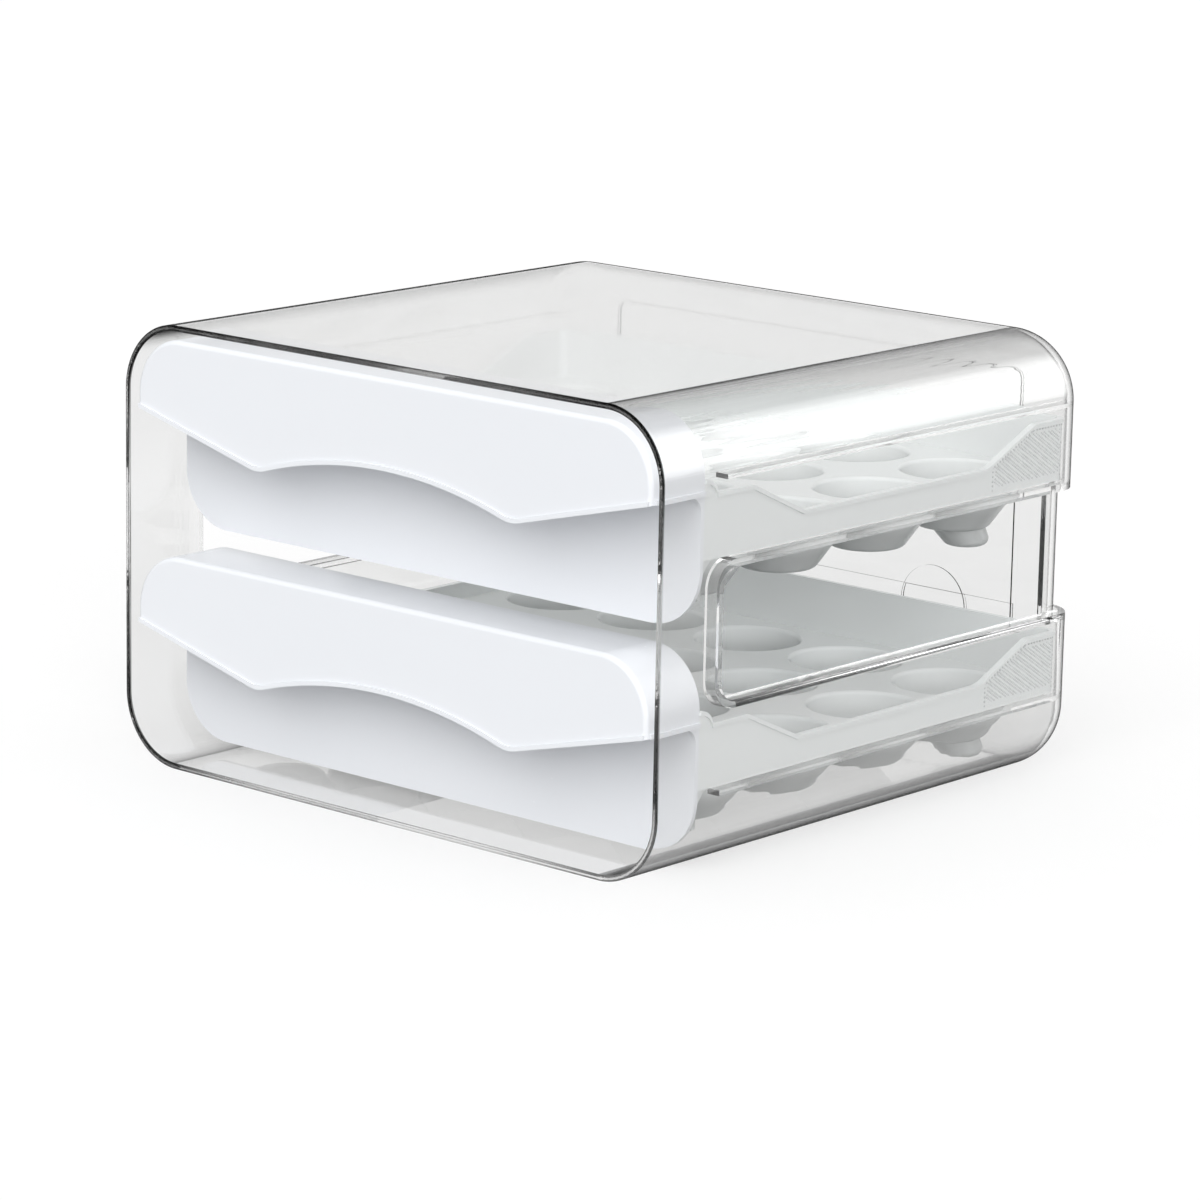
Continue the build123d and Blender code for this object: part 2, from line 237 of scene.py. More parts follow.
class StudioSettings(bpy.types.PropertyGroup):
    """Camera, floor and light."""

    camera_place: FloatVectorProperty(
        name="Camera place", description="Where the camera stands", subtype="TRANSLATION",
        unit="LENGTH", default=(1.15122, -1.31704, 0.45883))
    camera_turn: FloatVectorProperty(
        name="Camera turn", description="The camera's Euler angles", subtype="EULER",
        default=(math.radians(77.212), math.radians(-1.078), math.radians(41.465)))
    lens: FloatProperty(
        name="Lens", description="Focal length in millimetres", default=145.9)
    floor_size: FloatProperty(
        name="Floor size", description="Side of the square floor", unit="LENGTH", default=40.0)
    horizon: FloatProperty(
        name="Horizon", description="Strength of the room's light from the sides", default=0.52)
    zenith: FloatProperty(
        name="Zenith", description="Strength of the room's light from above", default=0.76)
    key: FloatProperty(name="Key", description="Strength of the soft key light", default=1.6)
    fill: FloatProperty(name="Fill", description="Strength of the soft light from the right", default=0.95)
    dark_ceiling: FloatProperty(
        name="Dark ceiling", description="Brightness of the studio's ceiling in reflections", default=0.15)
    glow: FloatProperty(
        name="Glow", description="Brightness of the soft light behind that glossy corners reflect",
        default=2.8)
    floor_colour: FloatProperty(
        name="Floor colour", description="Grey of the paper floor under the lamps", default=0.50)
    floor_bounce: FloatProperty(
        name="Floor bounce", description="Grey of the floor as the object's undersides see it",
        default=0.28)
    floor_lift: FloatProperty(
        name="Floor lift", description="What the floor adds so that it shows white", default=0.50)


# Nodes

def add_node(tree, kind, inputs=None, **properties):
    """A new node with its properties set, and each input linked or given its value."""
    node = tree.nodes.new(kind)
    for name, value in properties.items():
        setattr(node, name, value)
    for key, value in (inputs or {}).items():
        if isinstance(value, bpy.types.NodeSocket):
            tree.links.new(value, node.inputs[key])
        else:
            node.inputs[key].default_value = value
    return node


def calculate(tree, operation, *values):
    """The output of a Math node on the given values."""
    return add_node(tree, "ShaderNodeMath", dict(enumerate(values)), operation=operation).outputs[0]


def map_range(tree, value, interpolation="LINEAR", **ends):
    """The output of a Map Range node, with ends such as to_min given by name."""
    inputs = {name.replace("_", " ").title(): end for name, end in ends.items()}
    return add_node(
        tree, "ShaderNodeMapRange", {"Value": value, **inputs},
        interpolation_type=interpolation).outputs["Result"]


# Shader groups and materials

def new_group(name, inputs, outputs):
    """A shader node group with named inputs and outputs, and its two end nodes."""
    group = bpy.data.node_groups.new(name, "ShaderNodeTree")
    for label, kind, value in inputs:
        socket = group.interface.new_socket(label, in_out="INPUT", socket_type=kind)
        socket.default_value = value
    for label, kind in outputs:
        group.interface.new_socket(label, in_out="OUTPUT", socket_type=kind)
    start = group.nodes.new("NodeGroupInput")
    end = group.nodes.new("NodeGroupOutput")
    return group, start, end


def moulded_surface_group():
    """Moulded plastic: a little clouding of the colour, uneven gloss and a fine grain."""
    name = "Moulded surface"
    if name in bpy.data.node_groups:
        return bpy.data.node_groups[name]
    group, start, end = new_group(
        name,
        [
            ("Colour", "NodeSocketColor", (0.8, 0.8, 0.8, 1)),
            ("Clouding", "NodeSocketFloat", 0.02),
            ("Roughness", "NodeSocketFloat", 0.3),
            ("Grain Scale", "NodeSocketFloat", 900.0),
        ],
        [("Colour", "NodeSocketColor"), ("Roughness", "NodeSocketFloat"), ("Height", "NodeSocketFloat")],
    )
    place = add_node(group, "ShaderNodeTexCoord").outputs["Object"]
    cloud = add_node(group, "ShaderNodeTexNoise", {
        "Vector": place, "Scale": CLOUD_SCALE, "Detail": CLOUD_DETAIL}).outputs["Fac"]
    grain = add_node(group, "ShaderNodeTexNoise", {
        "Vector": place, "Scale": start.outputs["Grain Scale"],
        "Detail": GRAIN_DETAIL}).outputs["Fac"]
    centred = calculate(group, "SUBTRACT", cloud, 0.5)
    amount = calculate(group, "MULTIPLY_ADD", centred, start.outputs["Clouding"], 1.0)
    tint = add_node(group, "ShaderNodeVectorMath", {
        0: start.outputs["Colour"], "Scale": amount}, operation="SCALE")
    gloss = map_range(group, grain, to_min=LEAST_GLOSS, to_max=MOST_GLOSS)
    rough = calculate(group, "MULTIPLY", gloss, start.outputs["Roughness"])
    group.links.new(tint.outputs["Vector"], end.inputs["Colour"])
    group.links.new(rough, end.inputs["Roughness"])
    group.links.new(grain, end.inputs["Height"])
    return group


def plastic_material(name, colour, clouding, roughness, grain_scale, grain_depth):
    """A material whose Principled shader is fed by the moulded surface group."""
    material = bpy.data.materials.new(name)
    material.use_nodes = True
    tree = material.node_tree
    shader = tree.nodes["Principled BSDF"]
    surface = add_node(tree, "ShaderNodeGroup", node_tree=moulded_surface_group())
    surface.inputs["Colour"].default_value = (*colour, 1)
    surface.inputs["Clouding"].default_value = clouding
    surface.inputs["Roughness"].default_value = roughness
    surface.inputs["Grain Scale"].default_value = grain_scale
    bump = add_node(tree, "ShaderNodeBump", {
        "Height": surface.outputs["Height"], "Distance": grain_depth, "Strength": 1.0})
    tree.links.new(surface.outputs["Colour"], shader.inputs["Base Color"])
    tree.links.new(surface.outputs["Roughness"], shader.inputs["Roughness"])
    tree.links.new(bump.outputs["Normal"], shader.inputs["Normal"])
    return material, shader


def clear_plastic():
    """Clear styrene: lamps shine through it, and long ways through it go dark."""
    settings = bpy.context.scene.egg_clear
    material, shader = plastic_material(
        "clear_styrene", settings.tint, settings.clouding, settings.roughness,
        settings.ripple_scale, settings.ripple_depth)
    shader.inputs["Transmission Weight"].default_value = 1.0
    shader.inputs["IOR"].default_value = settings.ior
    shader.inputs["Specular IOR Level"].default_value = settings.gloss
    tree = material.node_tree
    # Painted shade on the turned and fine edges
    surface = paint_edge_shade(tree, shader, settings)
    let_lamps_through(tree, surface, settings.shadow_tint, 1.0)
    depth = add_node(tree, "ShaderNodeVolumeAbsorption", {
        "Color": (*settings.depth_colour, 1), "Density": settings.depth_density})
    tree.links.new(depth.outputs["Volume"], tree.nodes["Material Output"].inputs["Volume"])
    return material


def let_lamps_through(tree, surface, tint, share):
    """Lets a share of the lamps' and the room's light pass straight through the plastic."""
    paths = add_node(tree, "ShaderNodeLightPath").outputs
    lamp_rays = calculate(tree, "MAXIMUM", paths["Is Shadow Ray"], paths["Is Diffuse Ray"])
    open_way = add_node(tree, "ShaderNodeBsdfTransparent", {"Color": (*[tint] * 3, 1)})
    mix = add_node(tree, "ShaderNodeMixShader", {
        "Fac": calculate(tree, "MULTIPLY", lamp_rays, share),
        1: surface,
        2: open_way.outputs["BSDF"]})
    tree.links.new(mix.outputs["Shader"], tree.nodes["Material Output"].inputs["Surface"])


def paint_edge_shade(tree, shader, settings):
    """Paints shade into the clear plastic: mixes dark bent light into fine edges and, from outside, into
    faces that turn away, as painted dark edges.
    """
    rounding = add_node(tree, "ShaderNodeAttribute", attribute_name=ROUNDING).outputs["Fac"]
    fine_edge = add_node(tree, "ShaderNodeAttribute", attribute_name=FINE_EDGE).outputs["Fac"]
    facing = add_node(tree, "ShaderNodeLayerWeight").outputs["Facing"]
    turned = map_range(
        tree, facing, "SMOOTHSTEP", from_min=settings.edge_start, from_max=settings.edge_full)
    share = calculate(
        tree, "MULTIPLY", turned, calculate(tree, "MAXIMUM", rounding, settings.flat_share))
    inside = add_node(tree, "ShaderNodeNewGeometry").outputs["Backfacing"]
    outside = calculate(tree, "MULTIPLY", share, calculate(tree, "SUBTRACT", 1.0, inside))
    fine = calculate(tree, "MULTIPLY", fine_edge, settings.fine_share)
    dark = add_node(tree, "ShaderNodeBsdfRefraction", {
        "Color": (*[settings.painted_edge_shade] * 3, 1), "IOR": settings.ior, "Roughness": 0.0})
    mix = add_node(tree, "ShaderNodeMixShader", {
        "Fac": calculate(tree, "MAXIMUM", outside, fine),
        1: shader.outputs["BSDF"],
        2: dark.outputs["BSDF"]})
    return mix.outputs["Shader"]


def opaque_plastic(name, colour, roughness, translucency):
    """Glossy opaque styrene of a drawer front or an egg tray."""
    settings = bpy.context.scene.egg_opaque
    material, shader = plastic_material(
        name, colour, settings.clouding, roughness, settings.grain_scale, settings.grain_depth)
    shader.inputs["IOR"].default_value = STYRENE_IOR
    let_lamps_through(material.node_tree, shader.outputs["BSDF"], 1.0, translucency)
    return material


def paint_cup_shade(tree, shade):
    """Paints shade into a tray's cups: the colour goes darker with their depth."""
    base = tree.nodes["Principled BSDF"].inputs["Base Color"]
    sunken = add_node(tree, "ShaderNodeAttribute", attribute_name=SUNKEN).outputs["Fac"]
    scaled = add_node(tree, "ShaderNodeVectorMath", {
        0: base.links[0].from_socket,
        "Scale": map_range(tree, sunken, "SMOOTHSTEP", to_min=1.0, to_max=shade)},
        operation="SCALE")
    tree.links.new(scaled.outputs["Vector"], base)


# Pieces

def joined_copy(node, name, body, material, rounds=0):
    """A CAD node's shape as one smooth-shaded mesh, which then stands for the node."""
    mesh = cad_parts[node].data.copy()
    mesh.name = name
    mesh.attributes.remove(mesh.attributes["custom_normal"])
    piece = bpy.data.objects.new(name, mesh)
    bpy.context.collection.objects.link(piece)
    merge_corners(piece)
    for _ in range(rounds):
        round_out(piece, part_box(node))
    piece.data.materials.clear()
    piece.data.materials.append(material)
    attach(piece, body)
    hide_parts(node)
    return piece


def merge_corners(piece):
    """Joins loose triangles and gives them smooth shading with sharp edges kept."""
    work = bmesh.new()
    work.from_mesh(piece.data)
    bmesh.ops.remove_doubles(work, verts=work.verts, dist=MERGE_DISTANCE)
    for face in work.faces:
        face.smooth = True
    for edge in work.edges:
        edge.smooth = edge.calc_face_angle(0) < SHARP_ANGLE
    work.to_mesh(piece.data)
    work.free()
    weighted = piece.modifiers.new("Even shading", "WEIGHTED_NORMAL")
    weighted.mode = "FACE_AREA_WITH_ANGLE"
    weighted.weight = 100
    weighted.keep_sharp = True
    apply_modifiers(piece)


def round_out(piece, box):
    """Halves each triangle edge that cuts a curve short, with its middle moved out onto the curve."""
    mesh = piece.data
    places = [vertex.co.copy() for vertex in mesh.vertices]
    rises = {}
    for face in mesh.polygons:
        corners = list(zip(face.vertices, face.loop_indices))
        for (first, first_loop), (last, last_loop) in zip(corners, corners[1:] + corners[:1]):
            starts, ends = (mesh.corner_normals[loop].vector for loop in (first_loop, last_loop))
            bend = (ends - starts).dot(places[last] - places[first]) / 8
            turns = starts.angle(ends, 0) > LEAST_TURN and LEAST_RISE < abs(bend) < MOST_RISE
            rise = (starts + ends).normalized() * bend if turns else Vector()
            rises.setdefault(frozenset((first, last)), []).append(rise)
    sharp = {frozenset(edge.vertices) for edge in mesh.edges if edge.use_edge_sharp}
    middles = {}
    for edge, found in rises.items():
        rise = sum(found, Vector()) / (1 if edge in sharp else len(found))
        if rise.length > LEAST_RISE:
            first, last = edge
            middles[edge] = len(places)
            places.append(held_in((places[first] + places[last]) / 2 + rise, box))
    triangles = []
    for face in mesh.polygons:
        triangles += split_triangle(tuple(face.vertices), middles, places)
    rounded = bpy.data.meshes.new(mesh.name)
    rounded.from_pydata(places, [], triangles)
    piece.data = rounded
    merge_corners(piece)


def split_triangle(corners, middles, places):
    """The triangles that a triangle falls into where some of its edges have a middle corner."""
    a, b, c = corners
    found = [middles.get(frozenset(pair)) for pair in ((a, b), (b, c), (c, a))]
    while found[0] is None and any(middle is not None for middle in found):
        a, b, c = b, c, a
        found = found[1:] + found[:1]
    ab, bc, ca = found
    if ab is None:
        return [(a, b, c)]
    if bc is None and ca is None:
        return [(a, ab, c), (ab, b, c)]
    if bc is not None and ca is not None:
        return [(a, ab, ca), (ab, b, bc), (ca, bc, c), (ab, bc, ca)]
    if bc is None:
        a, b, c, ab, bc = c, a, b, ca, ab
    if (places[a] - places[bc]).length < (places[ab] - places[c]).length:
        return [(ab, b, bc), (a, ab, bc), (a, bc, c)]
    return [(ab, b, bc), (a, ab, c), (ab, bc, c)]


def mark_rounding(mesh):
    """Marks rounded faces, and the fine edges and narrow steps, that take the clear plastic's painted edge
    shade.
    """
    normals = [corner.vector for corner in mesh.corner_normals]
    places = [vertex.co for vertex in mesh.vertices]
    narrow = narrow_faces(mesh)
    rounding = mesh.attributes.new(ROUNDING, "FLOAT", "FACE")
    fine_edge = mesh.attributes.new(FINE_EDGE, "FLOAT", "FACE")
    for face in mesh.polygons:
        turned = max(face.normal.angle(normals[loop], 0) for loop in face.loop_indices) > ROUND_ANGLE
        corners = list(zip(face.vertices, face.loop_indices))
        curvature = max(
            (normals[last_loop] - normals[first_loop]).length / (places[last] - places[first]).length
            for (first, first_loop), (last, last_loop) in zip(corners, corners[1:] + corners[:1]))
        fine = face.index in narrow or turned and curvature > FINE_CURVATURE
        rounding.data[face.index].value = float(turned or fine)
        fine_edge.data[face.index].value = float(fine)


def mark_sunken(mesh, top):
    """Marks how far each corner lies below the top of the cups, which sets how dark the painted cup shade
    goes.
    """
    sunken = mesh.attributes.new(SUNKEN, "FLOAT", "POINT")
    for vertex in mesh.vertices:
        sunken.data[vertex.index].value = min(max((top - vertex.co.z) / CUP_REACH, 0.0), 1.0)


def narrow_faces(mesh):
    """The numbers of the faces that lie in strips between sharp edges, too narrow to be a wall."""
    work = bmesh.new()
    work.from_mesh(mesh)
    found = set()
    seen = set()
    for first in work.faces:
        if first in seen:
            continue
        strip, rim = [first], 0.0
        seen.add(first)
        for face in strip:
            for edge in face.edges:
                if edge.calc_face_angle(math.pi) > SHARP_ANGLE:
                    rim += edge.calc_length()
                    continue
                fresh = [other for other in edge.link_faces if other not in seen]
                seen.update(fresh)
                strip += fresh
        if 2 * sum(face.calc_area() for face in strip) < NARROW_WIDTH * rim:
            found.update(face.index for face in strip)
    work.free()
    return found


def held_in(place, box):
    """The place nearest to the given one that is inside the box."""
    return Vector([min(max(value, low), high) for value, low, high in zip(place, *box)])


def apply_modifiers(piece):
    """Turns what the modifiers make into the piece's own mesh and drops them."""
    bpy.context.view_layer.update()
    evaluated = piece.evaluated_get(bpy.context.evaluated_depsgraph_get())
    made = bpy.data.meshes.new_from_object(evaluated)
    made.name = piece.name
    piece.modifiers.clear()
    piece.data = made


class EGGDRAWER_OT_casing(bpy.types.Operator):
    """Dress the clear casing."""

    bl_idname = "eggdrawer.casing"
    bl_label = "Clear Casing"

    def execute(self, context):
        piece = joined_copy(
            "casing", "clear_casing", "casing", clear_plastic(), rounds=ROUNDS)
        mark_rounding(piece.data)
        return {"FINISHED"}


class EGGDRAWER_OT_fronts(bpy.types.Operator):
    """Dress both drawer fronts."""

    bl_idname = "eggdrawer.fronts"
    bl_label = "Drawer Fronts"

    def execute(self, context):
        settings = context.scene.egg_opaque
        plastic = opaque_plastic(
            "front_styrene", settings.front_colour, settings.front_roughness, settings.front_translucency)
        for tier in TIERS:
            joined_copy(
                f"{tier}_drawer_front", f"{tier}_front", f"{tier}_drawer", plastic,
                rounds=ROUNDS)
        return {"FINISHED"}


class EGGDRAWER_OT_trays(bpy.types.Operator):
    """Dress both egg trays."""

    bl_idname = "eggdrawer.trays"
    bl_label = "Egg Trays"

    def execute(self, context):
        settings = context.scene.egg_opaque
        plastic = opaque_plastic(
            "tray_styrene", settings.tray_colour, settings.tray_roughness, settings.tray_translucency)
        # Painted shade: the cups darken towards their bottoms.
        paint_cup_shade(plastic.node_tree, settings.painted_cup_shade)
        for tier in TIERS:
            piece = joined_copy(
                f"{tier}_egg_tray", f"{tier}_tray", f"{tier}_drawer", plastic)
            mark_sunken(piece.data, RAIL_TOPS[tier] + CUP_TOP)
        return {"FINISHED"}


# Grips, with the named inputs of their nodes

GRIP_INPUTS = {
    "Tray": "NodeSocketObject",
    "Rail Top": "NodeSocketFloat",
    "Row Pitch": "NodeSocketFloat",
    "Dot Pitch": "NodeSocketFloat",
    "Border Pitch": "NodeSocketFloat",
    "Border Scale": "NodeSocketFloat",
    "Margin": "NodeSocketFloat",
    "Dot Radius": "NodeSocketFloat",
    "Dot Height": "NodeSocketFloat",
    "Row Slope": "NodeSocketFloat",
    "Seed": "NodeSocketInt",
    "Material": "NodeSocketMaterial",
}


def slanting_rows(tree, given):
    """Points in staggered pairs of rows that fall towards the back and cover more than the grip."""
    rows, dots = (
        calculate(tree, "ROUND", calculate(tree, "DIVIDE", GRIP_REACH, given[pitch]))
        for pitch in ("Row Pitch", "Dot Pitch"))
    grid = add_node(tree, "GeometryNodeMeshGrid", {
        "Size X": GRIP_REACH, "Size Y": GRIP_REACH, "Vertices X": rows, "Vertices Y": dots})
    index = add_node(tree, "GeometryNodeInputIndex").outputs["Index"]
    row = calculate(tree, "FLOOR", calculate(tree, "DIVIDE", index, dots))
    odd = calculate(tree, "MODULO", row, 2)
    half_pitch = calculate(tree, "MULTIPLY", given["Dot Pitch"], 0.5)
    shift = add_node(tree, "ShaderNodeCombineXYZ", {
        "X": calculate(tree, "MULTIPLY", odd, -PAIR_CLOSING),
        "Y": calculate(tree, "MULTIPLY", odd, half_pitch)})
    paired = add_node(tree, "GeometryNodeSetPosition", {
        "Geometry": grid.outputs["Mesh"], "Offset": shift.outputs["Vector"]})
    upright = add_node(tree, "GeometryNodeTransform", {
        "Geometry": paired.outputs["Geometry"], "Rotation": (0, -math.pi / 2, 0)})
    turn = add_node(tree, "ShaderNodeCombineXYZ", {
        "X": calculate(tree, "MULTIPLY", given["Row Slope"], -1)})
    middle = (0, (GRIP_FRONT + GRIP_BACK) / 2, (GRIP_FOOT + GRIP_TOP) / 2)
    return add_node(tree, "GeometryNodeTransform", {
        "Geometry": upright.outputs["Geometry"], "Rotation": turn.outputs["Vector"],
        "Translation": middle}).outputs["Geometry"]


def outline_sides():
    """The start and end of each side of the grip's outline."""
    corners = [Vector((0, *corner)) for corner in GRIP_CORNERS]
    return list(zip(corners, corners[1:] + corners[:1]))


def cut_to_outline(tree, given, points):
    """The points that lie inside the grip's outline by more than its margin."""
    place = add_node(tree, "GeometryNodeInputPosition").outputs["Position"]
    nearest = None
    for start, end in outline_sides():
        along = (end - start).normalized()
        inward = Vector((0, along.z, -along.y))
        depth = add_node(tree, "ShaderNodeVectorMath", {0: place, 1: inward}, operation="DOT_PRODUCT")
        inside = calculate(tree, "SUBTRACT", depth.outputs["Value"], start.dot(inward))
        nearest = inside if nearest is None else calculate(tree, "MINIMUM", nearest, inside)
    outside = calculate(tree, "LESS_THAN", nearest, given["Margin"])
    return add_node(tree, "GeometryNodeDeleteGeometry", {
        "Geometry": points, "Selection": outside}, domain="POINT").outputs["Geometry"]


def border_points(tree, given):
    """Points along the sides of the outline, apart from its foot, which the rail's lip hides."""
    lines = add_node(tree, "GeometryNodeJoinGeometry")
    for start, end in outline_sides()[:-1]:
        line = add_node(tree, "GeometryNodeMeshLine", {
            "Start Location": start, "Offset": end, "Resolution": given["Border Pitch"]},
            mode="END_POINTS", count_mode="RESOLUTION")
        tree.links.new(line.outputs["Mesh"], lines.inputs["Geometry"])
    return lines.outputs["Geometry"]


def dots_on_wall(tree, given, points, side, size):
    """Dots half sunk in one side wall of the tray, where rays from outside through the points meet it."""
    tray = add_node(tree, "GeometryNodeObjectInfo", {"Object": given["Tray"]}).outputs["Geometry"]
    raised = add_node(tree, "GeometryNodeTransform", {
        "Geometry": points,
        "Translation": add_node(
            tree, "ShaderNodeCombineXYZ", {"Z": given["Rail Top"]}).outputs["Vector"]})
    place = add_node(tree, "GeometryNodeInputPosition").outputs["Position"]
    parts = add_node(tree, "ShaderNodeSeparateXYZ", {"Vector": place}).outputs
    source = add_node(tree, "ShaderNodeCombineXYZ", {
        "X": side * GRIP_OUTSIDE, "Y": parts["Y"], "Z": parts["Z"]})
    ray = add_node(tree, "GeometryNodeRaycast", {
        "Target Geometry": tray, "Source Position": source.outputs["Vector"],
        "Ray Direction": (-side, 0, 0), "Ray Length": GRIP_RAY}).outputs
    missed = calculate(tree, "SUBTRACT", 1, ray["Is Hit"])
    met = add_node(tree, "GeometryNodeDeleteGeometry", {
        "Geometry": raised.outputs["Geometry"], "Selection": missed}, domain="POINT")
    placed = add_node(tree, "GeometryNodeSetPosition", {
        "Geometry": met.outputs["Geometry"], "Position": ray["Hit Position"]})
    facing = add_node(tree, "FunctionNodeAlignRotationToVector", {"Vector": ray["Hit Normal"]}, axis="Z")
    chance = add_node(tree, "FunctionNodeRandomValue", {"Seed": given["Seed"]}, data_type="FLOAT")
    chance.inputs[2].default_value = LEAST_DOT
    chance.inputs[3].default_value = MOST_DOT
    form = add_node(tree, "ShaderNodeCombineXYZ", {
        "X": given["Dot Radius"], "Y": given["Dot Radius"], "Z": given["Dot Height"]})
    grown = add_node(tree, "ShaderNodeVectorMath", {
        0: form.outputs["Vector"],
        "Scale": calculate(tree, "MULTIPLY", chance.outputs[1], size)}, operation="SCALE")
    dot = add_node(tree, "GeometryNodeMeshUVSphere", {
        "Segments": DOT_SEGMENTS, "Rings": DOT_RINGS, "Radius": 1.0})
    return add_node(tree, "GeometryNodeInstanceOnPoints", {
        "Points": placed.outputs["Geometry"], "Instance": dot.outputs["Mesh"],
        "Rotation": facing.outputs["Rotation"], "Scale": grown.outputs["Vector"]}).outputs["Instances"]


def grip_tree():
    """Nodes that set the grip's dots on both side walls of a tray."""
    tree = bpy.data.node_groups.new("Moulded grip", "GeometryNodeTree")
    for label, kind in GRIP_INPUTS.items():
        tree.interface.new_socket(label, in_out="INPUT", socket_type=kind)
    tree.interface.new_socket("Geometry", in_out="OUTPUT", socket_type="NodeSocketGeometry")
    given = tree.nodes.new("NodeGroupInput").outputs
    rows = cut_to_outline(tree, given, slanting_rows(tree, given))
    border = border_points(tree, given)
    dots = add_node(tree, "GeometryNodeJoinGeometry")
    for side in SIDES:
        for points, size in ((rows, 1.0), (border, given["Border Scale"])):
            tree.links.new(dots_on_wall(tree, given, points, side, size), dots.inputs["Geometry"])
    real = add_node(tree, "GeometryNodeRealizeInstances", {"Geometry": dots.outputs["Geometry"]})
    smooth = add_node(tree, "GeometryNodeSetShadeSmooth", {"Geometry": real.outputs["Geometry"]})
    finished = add_node(tree, "GeometryNodeSetMaterial", {
        "Geometry": smooth.outputs["Geometry"], "Material": given["Material"]})
    end = tree.nodes.new("NodeGroupOutput")
    tree.links.new(finished.outputs["Geometry"], end.inputs["Geometry"])
    return tree


class EGGDRAWER_OT_grips(bpy.types.Operator):
    """Set the dotted grips at the rear of both trays' side walls."""

    bl_idname = "eggdrawer.grips"
    bl_label = "Dotted Grips"

    def execute(self, context):
        settings = context.scene.egg_grip
        trays = context.scene.egg_opaque
        # The dots' grey is painted shade.
        plastic = opaque_plastic(
            "grip_styrene", settings.colour, trays.tray_roughness, trays.tray_translucency)
        tree = grip_tree()
        for tier in TIERS:
            name = f"{tier}_tray_grips"
            piece = bpy.data.objects.new(name, bpy.data.meshes.new(name))
            context.collection.objects.link(piece)
            modifier = piece.modifiers.new("Grip", "NODES")
            modifier.node_group = tree
            values = {
                "Tray": bpy.data.objects[f"{tier}_tray"],
                "Rail Top": RAIL_TOPS[tier],
                "Row Pitch": settings.row_pitch,
                "Dot Pitch": settings.dot_pitch,
                "Border Pitch": settings.border_pitch,
                "Border Scale": settings.border_scale,
                "Margin": settings.margin,
                "Dot Radius": settings.dot_radius,
                "Dot Height": settings.dot_height,
                "Row Slope": settings.row_slope,
                "Seed": settings.seed,
                "Material": plastic,
            }
            for item in tree.interface.items_tree:
                if item.in_out == "INPUT":
                    modifier[item.identifier] = values[item.name]
            apply_modifiers(piece)
            if not piece.data.polygons:
                raise RuntimeError(f"{name} has no dots")
            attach(piece, f"{tier}_drawer")
        return {"FINISHED"}


# Studio

def floor_material(colour, bounce, lift):
    """White paper floor that keeps the object's shadow and shows white to the camera."""
    material = bpy.data.materials.new("studio_floor")
    material.use_nodes = True
    tree = material.node_tree
    shader = tree.nodes["Principled BSDF"]
    shader.inputs["Roughness"].default_value = 1.0
    shader.inputs["Specular IOR Level"].default_value = 0.0
    shader.inputs["Emission Color"].default_value = (1, 1, 1, 1)
    diffuse_rays = add_node(tree, "ShaderNodeLightPath").outputs["Is Diffuse Ray"]
    grey = add_node(tree, "ShaderNodeMix", {"Factor": diffuse_rays, "A": colour, "B": bounce})
    shown = calculate(tree, "MULTIPLY", seen_rays(tree), lift)
    tree.links.new(grey.outputs["Result"], shader.inputs["Base Color"])
    tree.links.new(shown, shader.inputs["Emission Strength"])
    return material


def seen_rays(tree):
    """A socket that is 1 for camera, glossy and transmission rays."""
    paths = add_node(tree, "ShaderNodeLightPath").outputs
    straight = calculate(tree, "MAXIMUM", paths["Is Camera Ray"], paths["Is Glossy Ray"])
    return calculate(tree, "MAXIMUM", straight, paths["Is Transmission Ray"])


def studio_world(settings):
    """White to the camera, with a dark ceiling and a soft glow that only other rays see."""
    world = bpy.data.worlds.new("studio")
    world.use_nodes = True
    tree = world.node_tree
    way = add_node(tree, "ShaderNodeTexCoord").outputs["Generated"]
    height = add_node(tree, "ShaderNodeSeparateXYZ", {"Vector": way}).outputs["Z"]
    paths = add_node(tree, "ShaderNodeLightPath").outputs
    ceiling = map_range(
        tree, height, "SMOOTHSTEP", from_min=math.sin(CEILING_START),
        from_max=math.sin(CEILING_FULL), to_min=1.0, to_max=settings.dark_ceiling)
    shown = add_node(tree, "ShaderNodeMix", {
        "Factor": paths["Is Camera Ray"], "A": ceiling, "B": 1.0})
    room = map_range(tree, height, to_min=settings.horizon, to_max=settings.zenith)
    level = add_node(tree, "ShaderNodeMix", {
        "Factor": seen_rays(tree), "A": room, "B": shown.outputs["Result"]})
    aim = add_node(tree, "ShaderNodeVectorMath", {0: way, 1: GLOW_WAY}, operation="DOT_PRODUCT")
    glow = map_range(
        tree, aim.outputs["Value"], "SMOOTHERSTEP", from_min=math.cos(GLOW_SPREAD), from_max=1.0,
        to_max=settings.glow)
    total = calculate(tree, "MULTIPLY_ADD", glow, paths["Is Glossy Ray"], level.outputs["Result"])
    background = tree.nodes["Background"]
    background.inputs["Color"].default_value = (1, 1, 1, 1)
    tree.links.new(total, background.inputs["Strength"])
    return world


def add_sun(name, strength, elevation, azimuth, softness):
    """A soft far lamp that reflections don't show, its azimuth in degrees from +X towards +Y."""
    lamp = bpy.data.lights.new(name, "SUN")
    lamp.energy = strength
    lamp.angle = math.radians(softness)
    holder = bpy.data.objects.new(name, lamp)
    bpy.context.scene.collection.objects.link(holder)
    holder.rotation_euler = (math.radians(90 - elevation), 0, math.radians(azimuth + 90))
    holder.visible_glossy = False
    holder.visible_transmission = False


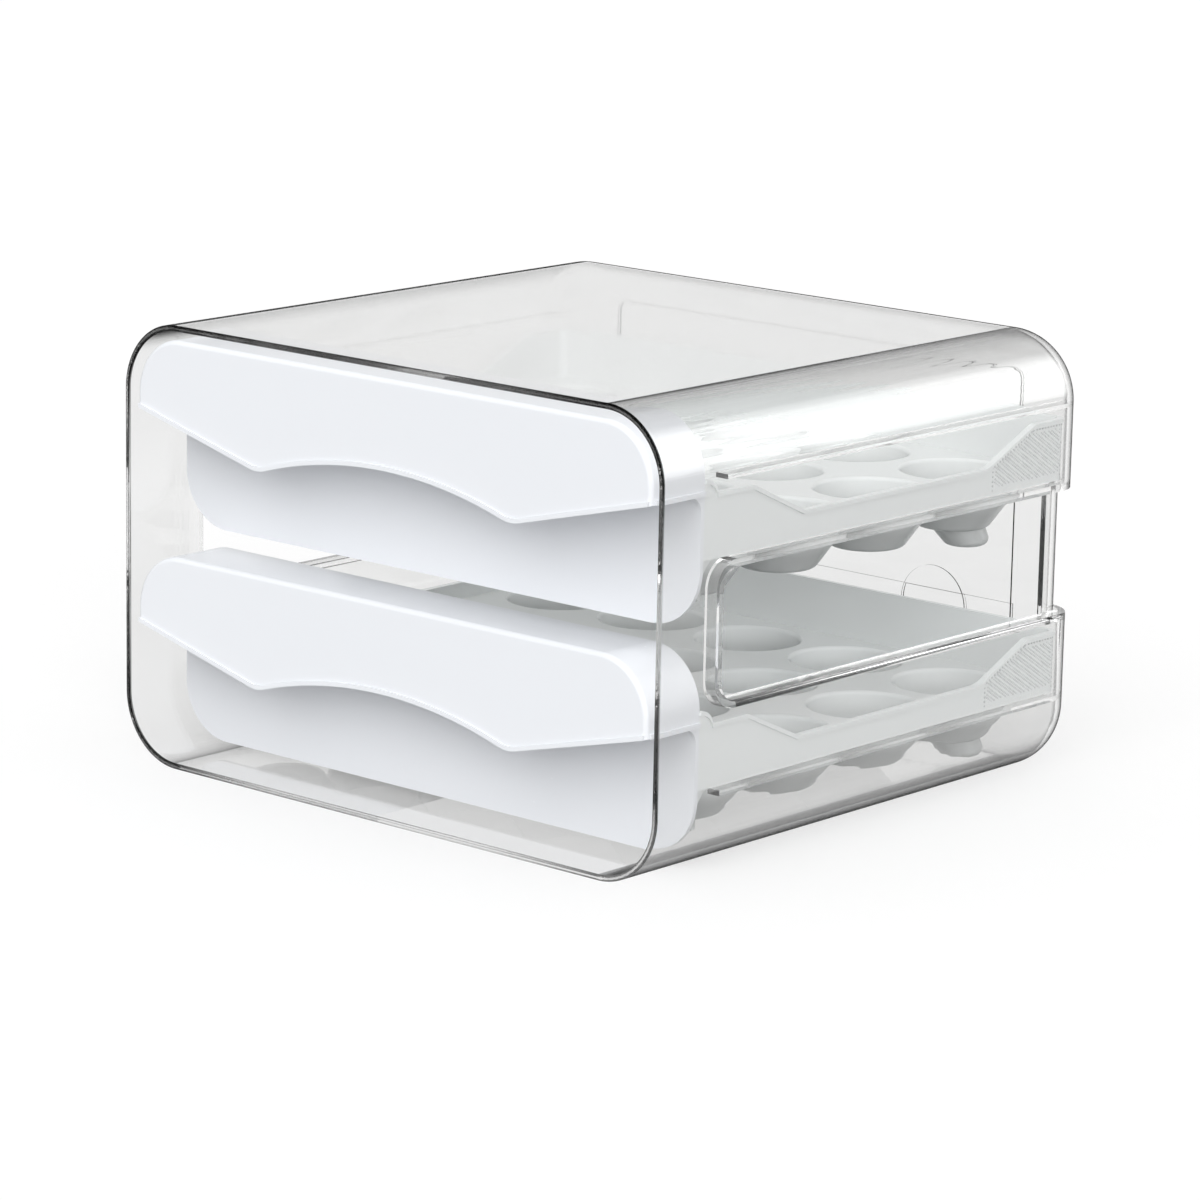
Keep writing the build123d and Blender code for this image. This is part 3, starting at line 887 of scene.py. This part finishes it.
class EGGDRAWER_OT_studio(bpy.types.Operator):
    """Set the floor, the light and the camera."""

    bl_idname = "eggdrawer.studio"
    bl_label = "Studio"

    def execute(self, context):
        settings = context.scene.egg_studio
        scene = context.scene
        scene.view_settings.view_transform = "Standard"
        scene.cycles.max_bounces = LIGHT_BOUNCES
        scene.cycles.transmission_bounces = LIGHT_BOUNCES
        scene.cycles.glossy_bounces = LIGHT_BOUNCES
        scene.cycles.transparent_max_bounces = LIGHT_BOUNCES

        scene.world = studio_world(settings)
        half = settings.floor_size / 2
        mesh = bpy.data.meshes.new("floor")
        mesh.from_pydata([(-half, -half, 0), (half, -half, 0), (half, half, 0), (-half, half, 0)], [],
                         [(0, 1, 2, 3)])
        floor = bpy.data.objects.new("floor", mesh)
        mesh.materials.append(
            floor_material(settings.floor_colour, settings.floor_bounce, settings.floor_lift))
        scene.collection.objects.link(floor)

        add_sun("key", settings.key, elevation=36, azimuth=-66, softness=56)
        add_sun("fill", settings.fill, elevation=12, azimuth=-32, softness=30)

        camera_data = bpy.data.cameras.new("camera")
        camera_data.sensor_width = SENSOR_WIDTH
        camera_data.lens = settings.lens
        camera_data.clip_end = 2 * settings.floor_size
        camera = bpy.data.objects.new("camera", camera_data)
        camera.location = settings.camera_place
        camera.rotation_euler = settings.camera_turn
        scene.collection.objects.link(camera)
        scene.camera = camera
        return {"FINISHED"}


class EGGDRAWER_PT_sidebar(bpy.types.Panel):
    """Buttons for each group of pieces and for the studio."""

    bl_label = "Egg Drawer"
    bl_idname = "EGGDRAWER_PT_sidebar"
    bl_space_type = "VIEW_3D"
    bl_region_type = "UI"
    bl_category = "Egg Drawer"

    def draw(self, context):
        for operator in OPERATORS:
            self.layout.operator(operator.bl_idname)


# What the add-on registers

OPERATORS = (
    EGGDRAWER_OT_casing,
    EGGDRAWER_OT_fronts,
    EGGDRAWER_OT_trays,
    EGGDRAWER_OT_grips,
    EGGDRAWER_OT_studio,
)
SETTINGS = {
    "egg_clear": ClearPlasticSettings,
    "egg_opaque": OpaquePlasticSettings,
    "egg_grip": GripSettings,
    "egg_studio": StudioSettings,
}


def register():
    for group in SETTINGS.values():
        bpy.utils.register_class(group)
    for name, group in SETTINGS.items():
        setattr(bpy.types.Scene, name, PointerProperty(type=group))
    for operator in OPERATORS:
        bpy.utils.register_class(operator)
    bpy.utils.register_class(EGGDRAWER_PT_sidebar)


def unregister():
    bpy.utils.unregister_class(EGGDRAWER_PT_sidebar)
    for operator in reversed(OPERATORS):
        bpy.utils.unregister_class(operator)
    for name, group in SETTINGS.items():
        delattr(bpy.types.Scene, name)
        bpy.utils.unregister_class(group)


def main():
    register()
    bpy.ops.eggdrawer.casing()
    bpy.ops.eggdrawer.fronts()
    bpy.ops.eggdrawer.trays()
    bpy.ops.eggdrawer.grips()
    bpy.ops.eggdrawer.studio()


if __name__ == "__main__":
    main()
